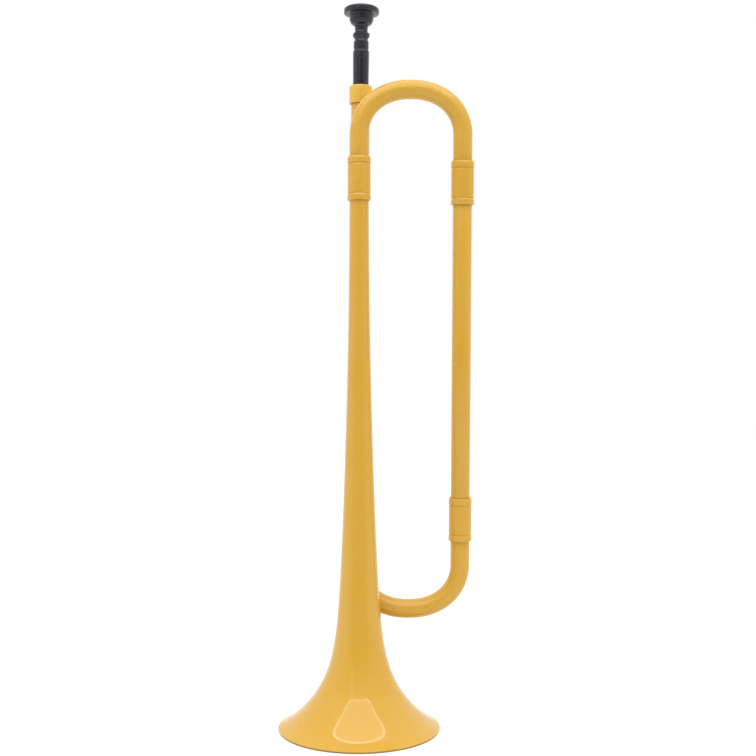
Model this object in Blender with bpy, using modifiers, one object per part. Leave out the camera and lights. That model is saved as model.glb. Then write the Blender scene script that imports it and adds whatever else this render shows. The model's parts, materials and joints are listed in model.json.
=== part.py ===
"""Valveless bugle moulded in plastic, standing on the rim of its bell.

Metres, +Z up along the bell's axis. The leadpipe stands behind the bell (+Y) and the single
straight tube beside it (+X). The design is laid out from the bell's axis at rim height, and one
empty then moves all of it so that the world origin is under the middle of the bounding box.
"""

import math

import bmesh
import bpy
from mathutils import Matrix, Vector

# ---- tubing -------------------------------------------------------------------------------
TUBE_RADIUS = 0.0072          # outside, of every plain tube and of both bows
TUBE_WALL = 0.0013
GAP = 0.0003                  # glue or running clearance between fitted pieces

# ---- bell ---------------------------------------------------------------------------------
RIM_RADIUS = 0.0603
RIM_EDGE = 0.0013             # height of the rim's blunt edge
RIM_FLAT = 0.0020             # width of the flat ring that the bell stands on
RIM_ROUND = 0.0005
BELL_WALL = 0.0015
TAPER_GAIN = 0.0133           # growth of the long taper from the tail to the rim
TAPER_POWER = 2.05
LIP_GAIN = 0.0052             # last quick opening just above the rim
LIP_DECAY = 0.0040
FLARE_DECAY = 0.0270          # height over which the flare dies away
FLARE_POWER = 1.228

# ---- joint sleeves --------------------------------------------------------------------------
SLEEVE_LENGTH = 0.0330
SLEEVE_WALL = 0.0011          # at its plain middle
BAND_RISE = 0.0002            # of the two end bands above the middle
BAND_LENGTH = 0.0054
BAND_ROUND = 0.0009
BAND_TURN = 60                # degrees of the rounding on a band's end
GROOVE_DEPTH = 0.0005
GROOVE_WIDTH = 0.0014
STOP_WIDTH = 0.0012           # inner rib that both tube ends stop against

# ---- layout ---------------------------------------------------------------------------------
PIPE_TOP = 0.4864             # top of the mouthpiece receiver, the overall height without it
APEX_DROP = 0.0082            # from there down to the top of the upper bow's centre line
TAIL_SLEEVE_DROP = 0.0749     # and to the middle of the sleeve on the bell's tail
UPPER_SLEEVE_DROP = 0.0774    # and to the middle of the straight tube's upper sleeve
LOWER_SLEEVE_Z = 0.1541       # sleeves at the foot of the straight tube and of the leadpipe
BOTTOM_BOW_APEX = 0.0852      # lowest point of the lower bow's centre line
BOW_CORNER = 0.0342           # bend radius of a bow's two elbows, a short straight run between
TOP_SPAN = 0.0783             # bell axis to straight tube, at the top bow
SPAN_LOSS = 0.0017            # how much nearer to the bell's axis that tube is at its foot
BOW_CLEARANCE = 0.00092       # between the bell's taper and the lower bow that passes behind it
PIPE_SIDE = -0.0026           # sideways offset of the leadpipe's foot
PIPE_LEAN = math.radians(0.60)

# ---- mouthpiece receiver ----------------------------------------------------------------------
RECEIVER_WALL = 0.0013
RECEIVER_LENGTH = 0.0138
RECEIVER_ROUND = 0.0014
RECEIVER_CAP = 0.0030         # thickness of the top over the leadpipe's end

# ---- mouthpiece, lengths stacked up from the receiver's top -------------------------------------
MP_SHOULDER_LENGTH = 0.0266   # straight part from the receiver up to the shoulder's edge
MP_SHOULDER_RISE = 0.00025    # of the shoulder's radius above the seat's
MP_SHOULDER_SLOPE = 0.0009
MP_NOTCH_LENGTH = 0.0012      # shallow groove between the shoulder and the barrel
MP_NOTCH_DEPTH = 0.0003
MP_NOTCH_SLOPE = 0.0006
MP_BARREL_LENGTH = 0.0046
MP_BARREL_RADIUS = 0.0058
MP_BARREL_SLOPE = 0.0015
MP_WAIST_LENGTH = 0.0048      # up to the middle of the bead
MP_WAIST_RADIUS = 0.0050
MP_BEAD_RADIUS = 0.0065
MP_BEAD_TURN = 75             # degrees of the bead above and below its middle
MP_BEAD_TO_NECK = 0.0028
MP_NECK_LENGTH = 0.0023
MP_NECK_RADIUS = 0.0048
MP_NECK_SLOPE = 0.0016
MP_CUP_LENGTH = 0.0086        # from the cup's foot to the underside of the rim
MP_CUP_RADIUS = 0.0092
MP_CUP_ROUND = 0.0042
MP_CUP_TURN = 75              # degrees of that rounding
MP_RIM_HEIGHT = 0.0049
MP_RIM_RADIUS = 0.0135
MP_CROWN_ROUND = 0.0018
MP_UNDER_ROUND = 0.0010
MP_SEAT_STEP = 0.0004         # ledge that rests on the receiver
MP_SHANK_LENGTH = 0.0260      # inside the receiver and the leadpipe
MP_SHANK_TAPER = 0.0004
MP_SHANK_WALL = 0.0014        # at its open end
MP_EDGE_RADIUS = 0.0076       # bowl, where the rim's inner edge starts
MP_EDGE_HEIGHT = 0.0010
MP_EDGE_SLOPE = 0.0004
MP_EDGE_CROWN = 0.0015        # from the bowl's edge out to the rim's crown
MP_EDGE_BREAK = 0.0008        # how far below the crown the inner edge breaks
MP_BOWL_DEPTH = 0.0115
MP_BOWL_START = 8             # degrees of the bowl's curve, from the throat up
MP_BOWL_END = 82
MP_THROAT_RADIUS = 0.0019
MP_THROAT_LENGTH = 0.0068
MP_THROAT_ROUND = 0.0012

# ---- braces between the bell and the leadpipe ---------------------------------------------------
LOWER_BRACE_RISE = 0.0509           # its middle above the middle of the leadpipe's sleeve
UPPER_BRACE_DROP = 0.0665           # its middle below the middle of the bell's sleeve
BRACE_LENGTH = 0.0160               # along the tubes
BRACE_WEB = 0.0030
BRACE_WEB_LENGTH = 0.0120
BRACE_PAD_WIDTH = 0.0090
BRACE_PAD_RISE = 0.0012             # pad's thickness over the nearest line of the tube
BRACE_PAD_SINK = 0.0036             # how far the pad wraps back around the tube
BRACE_BEVEL = 0.0006

# ---- facets -------------------------------------------------------------------------------------
BELL_SIDES = 44
ROUND_SIDES = 24
CURVE_BEVEL = 10                    # gives 2 x 10 + 4 = 24 sides
BOW_STEPS = 9                       # for each elbow
BELL_STEPS = 19
RIM_CROWDING = 2.6                  # above 1, the bell's rings crowd towards the rim
FOOT_RINGS = 3                      # rings at the rim that the bell's inside leaves out
CORNER_STEPS = 3
EDGE_STEPS = 2
BEAD_STEPS = 4
BOWL_STEPS = 6
SLOPE_STEP = 0.00005
MERGE_DISTANCE = 0.00001

# ---- sizes that follow from the others ----------------------------------------------------------
TUBE_BORE = TUBE_RADIUS - TUBE_WALL
TAIL_RADIUS = TUBE_RADIUS           # outside, where the bell enters its sleeve
FLARE_GAIN = RIM_RADIUS - TAIL_RADIUS - TAPER_GAIN - LIP_GAIN
SOCKET_RADIUS = TUBE_RADIUS + GAP
SLEEVE_RADIUS = SOCKET_RADIUS + SLEEVE_WALL
BAND_RADIUS = SLEEVE_RADIUS + BAND_RISE
RECEIVER_RADIUS = SOCKET_RADIUS + RECEIVER_WALL
TOP_BOW_APEX = PIPE_TOP - APEX_DROP
TAIL_SLEEVE_Z = PIPE_TOP - TAIL_SLEEVE_DROP
UPPER_SLEEVE_Z = PIPE_TOP - UPPER_SLEEVE_DROP
BOTTOM_REACH = TOP_SPAN - SPAN_LOSS
TUBE_END = STOP_WIDTH / 2 + GAP     # from a sleeve's middle to the end of a tube in it
BELL_TOP = TAIL_SLEEVE_Z - TUBE_END
BOTTOM_SPAN = BOTTOM_REACH - PIPE_SIDE
TOP_BOW_Z = TOP_BOW_APEX - BOW_CORNER
BOTTOM_BOW_Z = BOTTOM_BOW_APEX + BOW_CORNER
SHANK_RADIUS = TUBE_BORE - GAP
SHANK_END_RADIUS = SHANK_RADIUS - MP_SHANK_TAPER
MP_SEAT_RADIUS = SHANK_RADIUS + MP_SEAT_STEP
MP_NOTCH_FOOT = MP_SHOULDER_LENGTH + MP_SHOULDER_SLOPE
MP_BARREL_FOOT = MP_NOTCH_FOOT + MP_NOTCH_LENGTH + MP_NOTCH_SLOPE
MP_BARREL_TOP = MP_BARREL_FOOT + MP_BARREL_LENGTH
MP_BEAD_Z = MP_BARREL_TOP + MP_BARREL_SLOPE + MP_WAIST_LENGTH
MP_NECK_FOOT = MP_BEAD_Z + MP_BEAD_TO_NECK
MP_CUP_FOOT = MP_NECK_FOOT + MP_NECK_LENGTH + MP_NECK_SLOPE
MP_RIM_FOOT = MP_CUP_FOOT + MP_CUP_LENGTH
MP_HEIGHT = MP_RIM_FOOT + MP_RIM_HEIGHT
LOWER_BRACE_Z = LOWER_SLEEVE_Z + LOWER_BRACE_RISE
UPPER_BRACE_Z = TAIL_SLEEVE_Z - UPPER_BRACE_DROP

def bellRadius(height):
    """Outside radius of the bell at a height above the rim's upper edge."""
    taper = TAPER_GAIN * max(0.0, 1.0 - height / BELL_TOP) ** TAPER_POWER
    flare = FLARE_GAIN * math.exp(-((height / FLARE_DECAY) ** FLARE_POWER))
    lip = LIP_GAIN * math.exp(-height / LIP_DECAY)
    return TAIL_RADIUS + taper + flare + lip


# how far the leadpipe and the lower bow's near end stand behind the bell's axis
PIPE_DEPTH = bellRadius(BOTTOM_BOW_Z - BOW_CORNER / 2 - RIM_EDGE) + BOW_CLEARANCE + TUBE_RADIUS

YELLOW = (0.70, 0.39, 0.055, 1.0)
BLACK = (0.030, 0.030, 0.038, 1.0)
YELLOW_ROUGHNESS = 0.22
BLACK_ROUGHNESS = 0.30


def clearScene():
    for old in list(bpy.data.objects):
        bpy.data.objects.remove(old, do_unlink=True)


def addCollection(name):
    group = bpy.data.collections.new(name)
    bpy.context.scene.collection.children.link(group)
    return group


def addMaterial(name, colour, roughness):
    material = bpy.data.materials.new(name)
    material.use_nodes = True
    shader = material.node_tree.nodes["Principled BSDF"]
    shader.inputs["Base Color"].default_value = colour
    shader.inputs["Roughness"].default_value = roughness
    shader.inputs["Metallic"].default_value = 0.0
    return material


def addEmpty(name, group, parent, place, lean=0.0):
    empty = bpy.data.objects.new(name, None)
    empty.location = place
    empty.rotation_euler = (0.0, lean, 0.0)
    empty.parent = parent
    group.objects.link(empty)
    return empty


def arc(centre, radius, start, end, steps):
    """Points of an arc in the profile plane, with angles in degrees from +X towards +Z."""
    points = []
    for i in range(steps + 1):
        angle = math.radians(start + (end - start) * i / steps)
        points.append((centre[0] + radius * math.cos(angle), centre[1] + radius * math.sin(angle)))
    return points


def turned(name, profile, sides, material, group, parent=None, place=(0.0, 0.0, 0.0)):
    """A closed profile, outer side first and from top to bottom, turned about Z."""
    mesh = bpy.data.meshes.new(name)
    edges = [(i, (i + 1) % len(profile)) for i in range(len(profile))]
    mesh.from_pydata([(r, 0.0, z) for r, z in profile], edges, [])
    piece = bpy.data.objects.new(name, mesh)
    piece.location = place
    piece.parent = parent
    group.objects.link(piece)
    screw = piece.modifiers.new("turn", "SCREW")
    screw.axis = "Z"
    screw.angle = 2 * math.pi
    screw.steps = sides
    screw.render_steps = sides
    screw.use_merge_vertices = True
    screw.merge_threshold = MERGE_DISTANCE
    screw.use_smooth_shade = True
    mesh.materials.append(material)
    return piece


def pipe(name, route, material, group, parent):
    """An open tube of TUBE_RADIUS along a route, with its wall grown inwards."""
    curve = bpy.data.curves.new(name + "_route", "CURVE")
    curve.dimensions = "3D"
    curve.bevel_depth = TUBE_RADIUS
    curve.bevel_resolution = CURVE_BEVEL
    curve.use_fill_caps = False
    spline = curve.splines.new("POLY")
    spline.points.add(len(route) - 1)
    for point, place in zip(spline.points, route):
        point.co = (*place, 1.0)
    guide = bpy.data.objects.new(name + "_route", curve)
    group.objects.link(guide)
    bpy.context.view_layer.update()
    graph = bpy.context.evaluated_depsgraph_get()
    mesh = bpy.data.meshes.new_from_object(guide.evaluated_get(graph))
    mesh.name = name
    bpy.data.objects.remove(guide)
    bpy.data.curves.remove(curve)
    mesh.materials.clear()
    mesh.materials.append(material)
    mesh.shade_smooth()
    piece = bpy.data.objects.new(name, mesh)
    piece.parent = parent
    group.objects.link(piece)
    wall = piece.modifiers.new("wall", "SOLIDIFY")
    wall.thickness = TUBE_WALL
    wall.offset = -1.0
    wall.use_even_offset = True
    return piece


def box(name, size, place, material, group, parent):
    mesh = bpy.data.meshes.new(name)
    shape = bmesh.new()
    bmesh.ops.create_cube(shape, size=1.0, matrix=Matrix.Diagonal((*size, 1.0)))
    shape.to_mesh(mesh)
    shape.free()
    mesh.materials.append(material)
    piece = bpy.data.objects.new(name, mesh)
    piece.location = place
    piece.parent = parent
    group.objects.link(piece)
    return piece


def combine(piece, other, operation):
    change = piece.modifiers.new(operation.lower() + "_" + other.name, "BOOLEAN")
    change.operation = operation
    change.solver = "EXACT"
    change.object = other


def hideGuide(guide):
    guide.hide_render = True
    guide.display_type = "WIRE"


def bellWallPoint(height):
    """The point one wall thickness inside the bell's outside, square to its surface."""
    slope = (bellRadius(height + SLOPE_STEP) - bellRadius(height)) / SLOPE_STEP
    length = math.hypot(1.0, slope)
    radius = bellRadius(height) - BELL_WALL / length
    return radius, height + RIM_EDGE + BELL_WALL * slope / length


def makeBell(material, group, parent):
    """Long taper into a flared mouth. Rings crowd towards the rim, where the curve is quick."""
    span = BELL_TOP - RIM_EDGE
    rings = range(BELL_STEPS + 1)
    heights = [span * (1.0 - i / BELL_STEPS) ** RIM_CROWDING for i in rings]
    outer = [(bellRadius(h), h + RIM_EDGE) for h in heights]
    edge = arc((RIM_RADIUS - RIM_ROUND, RIM_ROUND), RIM_ROUND, 0, -90, CORNER_STEPS)
    foot = [(RIM_RADIUS - RIM_ROUND - RIM_FLAT, 0.0)]
    inner = []
    for height in reversed(heights[:-FOOT_RINGS]):
        radius, level = bellWallPoint(height)
        inner.append((max(radius, TUBE_BORE), level))
    inner[-1] = (TUBE_BORE, BELL_TOP)
    return turned("bell", outer + edge + foot + inner, BELL_SIDES, material, group, parent)


def sleeveOutside():
    """Half of a sleeve's outside, from its upper end to its middle, heights from the middle."""
    top = SLEEVE_LENGTH / 2
    groove = top - BAND_LENGTH
    half = [(BAND_RADIUS - BAND_ROUND, top)]
    centre = (BAND_RADIUS - BAND_ROUND, top - BAND_ROUND)
    half += arc(centre, BAND_ROUND, BAND_TURN, 0, EDGE_STEPS)
    half += [(BAND_RADIUS, groove + GROOVE_WIDTH / 2)]
    half += [(SLEEVE_RADIUS - GROOVE_DEPTH, groove)]
    half += [(SLEEVE_RADIUS, groove - GROOVE_WIDTH / 2)]
    return half


def makeSleeve(name, material, group, parent, place=(0.0, 0.0, 0.0)):
    """A collar with a socket at each end and a stop rib in the middle."""
    top = SLEEVE_LENGTH / 2
    rib = STOP_WIDTH / 2
    half = sleeveOutside()
    outer = half + [(r, -z) for r, z in reversed(half)]
    inner = [
        (SOCKET_RADIUS, -top),
        (SOCKET_RADIUS, -rib),
        (TUBE_BORE, -rib),
        (TUBE_BORE, rib),
        (SOCKET_RADIUS, rib),
        (SOCKET_RADIUS, top),
    ]
    return turned(name, outer + inner, ROUND_SIDES, material, group, parent, place)


def bowLength(span):
    return math.pi * BOW_CORNER + span - 2 * BOW_CORNER


def bowPath(foot, span, side, drift):
    """Two elbows and the run between them, from foot over to the straight tube.

    side is +1 for a bow that turns over the top and -1 for one that turns underneath. drift is
    the straight tube's sideways and backward slope. It grows evenly along the bow, which leaves
    its first leg square and meets its last leg in line with that tube.
    """
    points = []
    for elbow in (0, 1):
        run = elbow * (span - 2 * BOW_CORNER)
        for i in range(BOW_STEPS + 1):
            turn = (elbow + i / BOW_STEPS) * math.pi / 2
            travelled = turn * BOW_CORNER + run
            sway = drift * (travelled * travelled / (2 * bowLength(span)))
            across = BOW_CORNER + run - BOW_CORNER * math.cos(turn)
            rise = side * BOW_CORNER * math.sin(turn)
            points.append(foot + sway + Vector((across, 0.0, rise)))
    return points


def solveStraightTube():
    """The ends of the line between the two bows, and its slope per unit of height.

    A bow sways by half its length times that slope, so the slope follows from the offset that the
    two bows leave between them.
    """
    rise = TOP_BOW_Z - BOTTOM_BOW_Z
    bends = (bowLength(TOP_SPAN) + bowLength(BOTTOM_SPAN)) / 2
    slope = Vector((BOTTOM_REACH - TOP_SPAN, PIPE_DEPTH, 0.0)) / (rise + bends)
    upper = Vector((TOP_SPAN, 0.0, TOP_BOW_Z)) + slope * bowLength(TOP_SPAN) / 2
    lower = Vector((BOTTOM_REACH, PIPE_DEPTH, BOTTOM_BOW_Z)) - slope * bowLength(BOTTOM_SPAN) / 2
    return upper, lower, slope


def onLine(upper, lower, height):
    return upper.lerp(lower, (upper.z - height) / (upper.z - lower.z))


def makeStraightSide(material, group, parent):
    """Both bows, the straight tube and its two sleeves, all on one slanted line."""
    upper, lower, slope = solveStraightTube()
    away = (lower - upper).normalized()
    stop = away * TUBE_END
    upperMiddle = onLine(upper, lower, UPPER_SLEEVE_Z)
    lowerMiddle = onLine(upper, lower, LOWER_SLEEVE_Z)

    over = bowPath(Vector((0.0, 0.0, TOP_BOW_Z)), TOP_SPAN, 1, slope)
    tailEnd = Vector((0.0, 0.0, TAIL_SLEEVE_Z + TUBE_END))
    pipe("top_bow", [tailEnd] + over + [upperMiddle - stop], material, group, parent)

    pipe("straight_tube", [upperMiddle + stop, lowerMiddle - stop], material, group, parent)

    under = bowPath(Vector((PIPE_SIDE, PIPE_DEPTH, BOTTOM_BOW_Z)), BOTTOM_SPAN, -1, -slope)
    pipeEnd = Vector((PIPE_SIDE, PIPE_DEPTH, LOWER_SLEEVE_Z - TUBE_END))
    pipe("bottom_bow", [pipeEnd] + under + [lowerMiddle + stop], material, group, parent)

    turn = Vector((0.0, 0.0, 1.0)).rotation_difference(-away).to_euler()
    for name, middle in (("upper_tube_sleeve", upperMiddle), ("lower_tube_sleeve", lowerMiddle)):
        sleeve = makeSleeve(name, material, group, parent, middle)
        sleeve.rotation_euler = turn


def makeLeadpipe(material, group, parent):
    """Sleeve, leadpipe and receiver on their own leaning axis.

    Gives back that axis's empty and the height of the receiver's top along it.
    """
    foot = Vector((PIPE_SIDE, PIPE_DEPTH, LOWER_SLEEVE_Z))
    axis = addEmpty("leadpipe_axis", group, parent, foot, PIPE_LEAN)
    top = (PIPE_TOP - LOWER_SLEEVE_Z) / math.cos(PIPE_LEAN)
    makeSleeve("leadpipe_sleeve", material, group, axis)

    high = top - RECEIVER_CAP - GAP
    wall = [(TUBE_RADIUS, high), (TUBE_RADIUS, TUBE_END), (TUBE_BORE, TUBE_END), (TUBE_BORE, high)]
    turned("leadpipe", wall, ROUND_SIDES, material, group, axis)

    centre = (RECEIVER_RADIUS - RECEIVER_ROUND, -RECEIVER_ROUND)
    collar = arc(centre, RECEIVER_ROUND, 90, 0, CORNER_STEPS)
    centre = (RECEIVER_RADIUS - BAND_ROUND / 2, BAND_ROUND / 2 - RECEIVER_LENGTH)
    collar += arc(centre, BAND_ROUND / 2, 0, -90, EDGE_STEPS)
    collar += [(SOCKET_RADIUS, -RECEIVER_LENGTH), (SOCKET_RADIUS, -RECEIVER_CAP)]
    collar += [(TUBE_BORE, -RECEIVER_CAP), (TUBE_BORE, 0.0)]
    turned("mouthpiece_receiver", collar, ROUND_SIDES, material, group, axis, (0.0, 0.0, top))
    return axis, top


def mouthpieceOutside():
    """Outer profile from the rim's crown down to the end of the shank."""
    centre = (MP_RIM_RADIUS - MP_CROWN_ROUND, MP_HEIGHT - MP_CROWN_ROUND)
    points = arc(centre, MP_CROWN_ROUND, 90, 0, CORNER_STEPS + 1)
    centre = (MP_RIM_RADIUS - MP_UNDER_ROUND, MP_RIM_FOOT + MP_UNDER_ROUND)
    points += arc(centre, MP_UNDER_ROUND, 0, -90, EDGE_STEPS)
    points += [(MP_CUP_RADIUS, MP_RIM_FOOT)]
    centre = (MP_CUP_RADIUS - MP_CUP_ROUND, MP_CUP_FOOT + MP_CUP_ROUND)
    points += arc(centre, MP_CUP_ROUND, 0, -MP_CUP_TURN, CORNER_STEPS + 1)
    points += [(MP_NECK_RADIUS, MP_NECK_FOOT + MP_NECK_LENGTH), (MP_NECK_RADIUS, MP_NECK_FOOT)]
    bead = MP_BEAD_RADIUS - MP_WAIST_RADIUS
    points += arc((MP_WAIST_RADIUS, MP_BEAD_Z), bead, MP_BEAD_TURN, -MP_BEAD_TURN, BEAD_STEPS)
    points += [(MP_WAIST_RADIUS, MP_BARREL_TOP + MP_BARREL_SLOPE)]
    points += [(MP_BARREL_RADIUS, MP_BARREL_TOP), (MP_BARREL_RADIUS, MP_BARREL_FOOT)]
    notch = MP_BARREL_RADIUS - MP_NOTCH_DEPTH
    points += [(notch, MP_NOTCH_FOOT + MP_NOTCH_LENGTH), (notch, MP_NOTCH_FOOT)]
    points += [(MP_SEAT_RADIUS + MP_SHOULDER_RISE, MP_SHOULDER_LENGTH)]
    points += [(MP_SEAT_RADIUS, GAP), (SHANK_RADIUS, GAP)]
    points += [(SHANK_END_RADIUS, -MP_SHANK_LENGTH)]
    return points


def mouthpieceInside():
    """Backbore, throat and bowl, from the shank's end up to the rim's inner edge."""
    throat = MP_HEIGHT - MP_BOWL_DEPTH
    points = [(SHANK_END_RADIUS - MP_SHANK_WALL, -MP_SHANK_LENGTH)]
    points += [(MP_THROAT_RADIUS, throat - MP_THROAT_ROUND - MP_THROAT_LENGTH)]
    points += [(MP_THROAT_RADIUS, throat - MP_THROAT_ROUND)]
    width = MP_EDGE_RADIUS - MP_THROAT_RADIUS
    depth = MP_BOWL_DEPTH - MP_EDGE_HEIGHT
    for i in range(BOWL_STEPS + 1):
        turn = math.radians(MP_BOWL_START + (MP_BOWL_END - MP_BOWL_START) * i / BOWL_STEPS)
        radius = MP_THROAT_RADIUS + width * math.sin(turn)
        points.append((radius, throat + depth * (1.0 - math.cos(turn))))
    points += [(MP_EDGE_RADIUS + MP_EDGE_SLOPE, MP_HEIGHT - MP_EDGE_BREAK)]
    points += [(MP_EDGE_RADIUS + MP_EDGE_CROWN, MP_HEIGHT)]
    return points


def makeMouthpiece(material, group, axis, top):
    seat = addEmpty("mouthpiece_seat", group, axis, (0.0, 0.0, top))
    profile = mouthpieceOutside() + mouthpieceInside()
    turned("mouthpiece", profile, ROUND_SIDES, material, group, seat)


def makeCutter(name, radius, length, place, lean, group, parent):
    mesh = bpy.data.meshes.new(name)
    shape = bmesh.new()
    bmesh.ops.create_cone(
        shape, cap_ends=True, segments=BELL_SIDES, radius1=radius, radius2=radius, depth=length
    )
    shape.to_mesh(mesh)
    shape.free()
    cutter = bpy.data.objects.new(name, mesh)
    cutter.location = place
    cutter.rotation_euler = (0.0, lean, 0.0)
    cutter.parent = parent
    group.objects.link(cutter)
    hideGuide(cutter)
    return cutter


def makeBracePad(name, place, side, material, group, parent):
    """One saddle block. side is +1 where the web leaves it towards +Y and -1 where towards -Y."""
    size = (BRACE_PAD_WIDTH, BRACE_PAD_RISE + BRACE_PAD_SINK, BRACE_LENGTH)
    shift = Vector((0.0, side * (BRACE_PAD_RISE - BRACE_PAD_SINK) / 2, 0.0))
    pad = box(name, size, place + shift, material, group, parent)
    soften = pad.modifiers.new("soften", "BEVEL")
    soften.width = BRACE_BEVEL
    soften.segments = 1
    hideGuide(pad)
    return pad


def makeBrace(name, height, material, group, cutters, parent):
    """A web with a saddle pad at each end, fitted to the bell and to the leadpipe."""
    bellFit = bellRadius(height - BRACE_LENGTH / 2 - RIM_EDGE) + GAP
    pipeX = PIPE_SIDE + (height - LOWER_SLEEVE_Z) * math.tan(PIPE_LEAN)
    webSize = (BRACE_WEB, PIPE_DEPTH, BRACE_WEB_LENGTH)
    web = box(name, webSize, (pipeX / 2, PIPE_DEPTH / 2, height), material, group, parent)

    bellPlace = Vector((0.0, bellFit, height))
    pipePlace = Vector((pipeX, PIPE_DEPTH - SOCKET_RADIUS, height))
    bellPad = makeBracePad(name + "_bell_pad", bellPlace, 1, material, cutters, parent)
    pipePad = makeBracePad(name + "_pipe_pad", pipePlace, -1, material, cutters, parent)
    combine(web, bellPad, "UNION")
    combine(web, pipePad, "UNION")

    length = BRACE_LENGTH * 2
    axis = Vector((0.0, 0.0, height))
    bellCut = makeCutter(name + "_bell_cut", bellFit, length, axis, 0.0, cutters, parent)
    axis = Vector((pipeX, PIPE_DEPTH, height))
    pipeCut = makeCutter(
        name + "_pipe_cut", SOCKET_RADIUS, length, axis, PIPE_LEAN, cutters, parent
    )
    combine(web, bellCut, "DIFFERENCE")
    combine(web, pipeCut, "DIFFERENCE")


def main():
    clearScene()
    parts = addCollection("bugle")
    cutters = addCollection("cutters")
    yellow = addMaterial("yellow_plastic", YELLOW, YELLOW_ROUGHNESS)
    black = addMaterial("black_plastic", BLACK, BLACK_ROUGHNESS)

    upper, lower, slope = solveStraightTube()
    sleeveTop = onLine(upper, lower, UPPER_SLEEVE_Z + SLEEVE_LENGTH / 2)
    middle = (sleeveTop.x + BAND_RADIUS - RIM_RADIUS) / 2
    root = addEmpty("bugle_frame", parts, None, (-middle, 0.0, 0.0))

    makeBell(yellow, parts, root)
    makeSleeve("bell_tail_sleeve", yellow, parts, root, (0.0, 0.0, TAIL_SLEEVE_Z))
    makeStraightSide(yellow, parts, root)
    axis, top = makeLeadpipe(yellow, parts, root)
    makeMouthpiece(black, parts, axis, top)
    makeBrace("lower_brace", LOWER_BRACE_Z, yellow, parts, cutters, root)
    makeBrace("upper_brace", UPPER_BRACE_Z, yellow, parts, cutters, root)
    bpy.context.view_layer.update()


main()
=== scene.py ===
import json
import math

import bmesh
import bpy
from mathutils import Matrix, Vector


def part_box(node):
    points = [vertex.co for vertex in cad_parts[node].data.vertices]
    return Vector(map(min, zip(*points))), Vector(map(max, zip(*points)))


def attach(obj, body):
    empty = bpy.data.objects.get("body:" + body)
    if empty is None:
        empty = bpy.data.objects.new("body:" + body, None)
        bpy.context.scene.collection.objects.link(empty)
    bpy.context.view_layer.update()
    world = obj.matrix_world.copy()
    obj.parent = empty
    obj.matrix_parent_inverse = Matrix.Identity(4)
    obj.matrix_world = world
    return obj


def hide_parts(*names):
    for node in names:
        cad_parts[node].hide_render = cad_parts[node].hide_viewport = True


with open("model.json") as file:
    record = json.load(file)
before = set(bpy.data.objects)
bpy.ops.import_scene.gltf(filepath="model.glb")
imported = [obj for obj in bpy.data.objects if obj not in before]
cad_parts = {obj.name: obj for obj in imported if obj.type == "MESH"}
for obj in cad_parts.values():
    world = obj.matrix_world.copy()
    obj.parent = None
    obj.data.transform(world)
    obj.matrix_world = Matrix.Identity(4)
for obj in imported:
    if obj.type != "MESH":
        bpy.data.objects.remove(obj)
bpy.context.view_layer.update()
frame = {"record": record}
bodyOf = {name: body for body, names in frame["record"]["behaviour"]["bodies"].items() for name in names}
pullAxis = Vector(frame["record"]["behaviour"]["joints"][0]["axis"]).normalized()
print("frame loaded,", len(bodyOf), "pieces")


# small helpers for node trees

def addNode(tree, kind, inputs=None, **settings):
    made = tree.nodes.new(kind)
    for name, value in settings.items():
        setattr(made, name, value)
    for name, value in (inputs or {}).items():
        if isinstance(value, bpy.types.NodeSocket):
            tree.links.new(value, made.inputs[name])
        else:
            made.inputs[name].default_value = value
    return made


def calc(tree, operation, *values):
    made = tree.nodes.new("ShaderNodeMath")
    made.operation = operation
    for slot, value in enumerate(values):
        if isinstance(value, bpy.types.NodeSocket):
            tree.links.new(value, made.inputs[slot])
        else:
            made.inputs[slot].default_value = value
    return made.outputs[0]


def spreadNodes(tree, perColumn=5):
    for place, made in enumerate(tree.nodes):
        made.location = (230 * (place // perColumn), -210 * (place % perColumn))


def newShapeTree(name, inputs):
    tree = bpy.data.node_groups.new(name, "GeometryNodeTree")
    tree.is_modifier = True
    tree.interface.new_socket("Geometry", in_out="INPUT", socket_type="NodeSocketGeometry")
    tree.interface.new_socket("Geometry", in_out="OUTPUT", socket_type="NodeSocketGeometry")
    kinds = {"size": "NodeSocketFloat", "count": "NodeSocketInt", "place": "NodeSocketVector",
             "turn": "NodeSocketRotation", "finish": "NodeSocketMaterial"}
    for label, kind in inputs.items():
        tree.interface.new_socket(label, in_out="INPUT", socket_type=kinds[kind])
    return tree, tree.nodes.new("NodeGroupInput").outputs


def endShapeTree(tree, geometry, finish):
    solid = addNode(tree, "GeometryNodeRealizeInstances", {"Geometry": geometry}).outputs[0]
    dressed = addNode(tree, "GeometryNodeSetMaterial", {"Geometry": solid, "Material": finish})
    end = tree.nodes.new("NodeGroupOutput")
    tree.links.new(dressed.outputs[0], end.inputs[0])
    spreadNodes(tree)


def plainMesh(piece):
    # freezes every modifier into an ordinary mesh
    graph = bpy.context.evaluated_depsgraph_get()
    mesh = bpy.data.meshes.new_from_object(piece.evaluated_get(graph), depsgraph=graph)
    mesh.name = piece.name
    piece.modifiers.clear()
    old = piece.data
    piece.data = mesh
    bpy.data.meshes.remove(old)
    return mesh


def runTree(name, tree, settings, points=(), edges=()):
    mesh = bpy.data.meshes.new(name)
    mesh.from_pydata([tuple(p) for p in points], list(edges), [])
    piece = bpy.data.objects.new(name, mesh)
    bpy.context.scene.collection.objects.link(piece)
    modifier = piece.modifiers.new(tree.name, "NODES")
    modifier.node_group = tree
    for item in tree.interface.items_tree:
        if item.item_type == "SOCKET" and item.in_out == "INPUT" and item.name in settings:
            modifier[item.identifier] = settings[item.name]
    bpy.context.view_layer.update()
    plainMesh(piece)
    return piece


def pointOutwards(mesh):
    shape = bmesh.new()
    shape.from_mesh(mesh)
    bmesh.ops.remove_doubles(shape, verts=shape.verts, dist=0.000002)
    bmesh.ops.recalc_face_normals(shape, faces=shape.faces)
    shape.to_mesh(mesh)
    shape.free()


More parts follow.
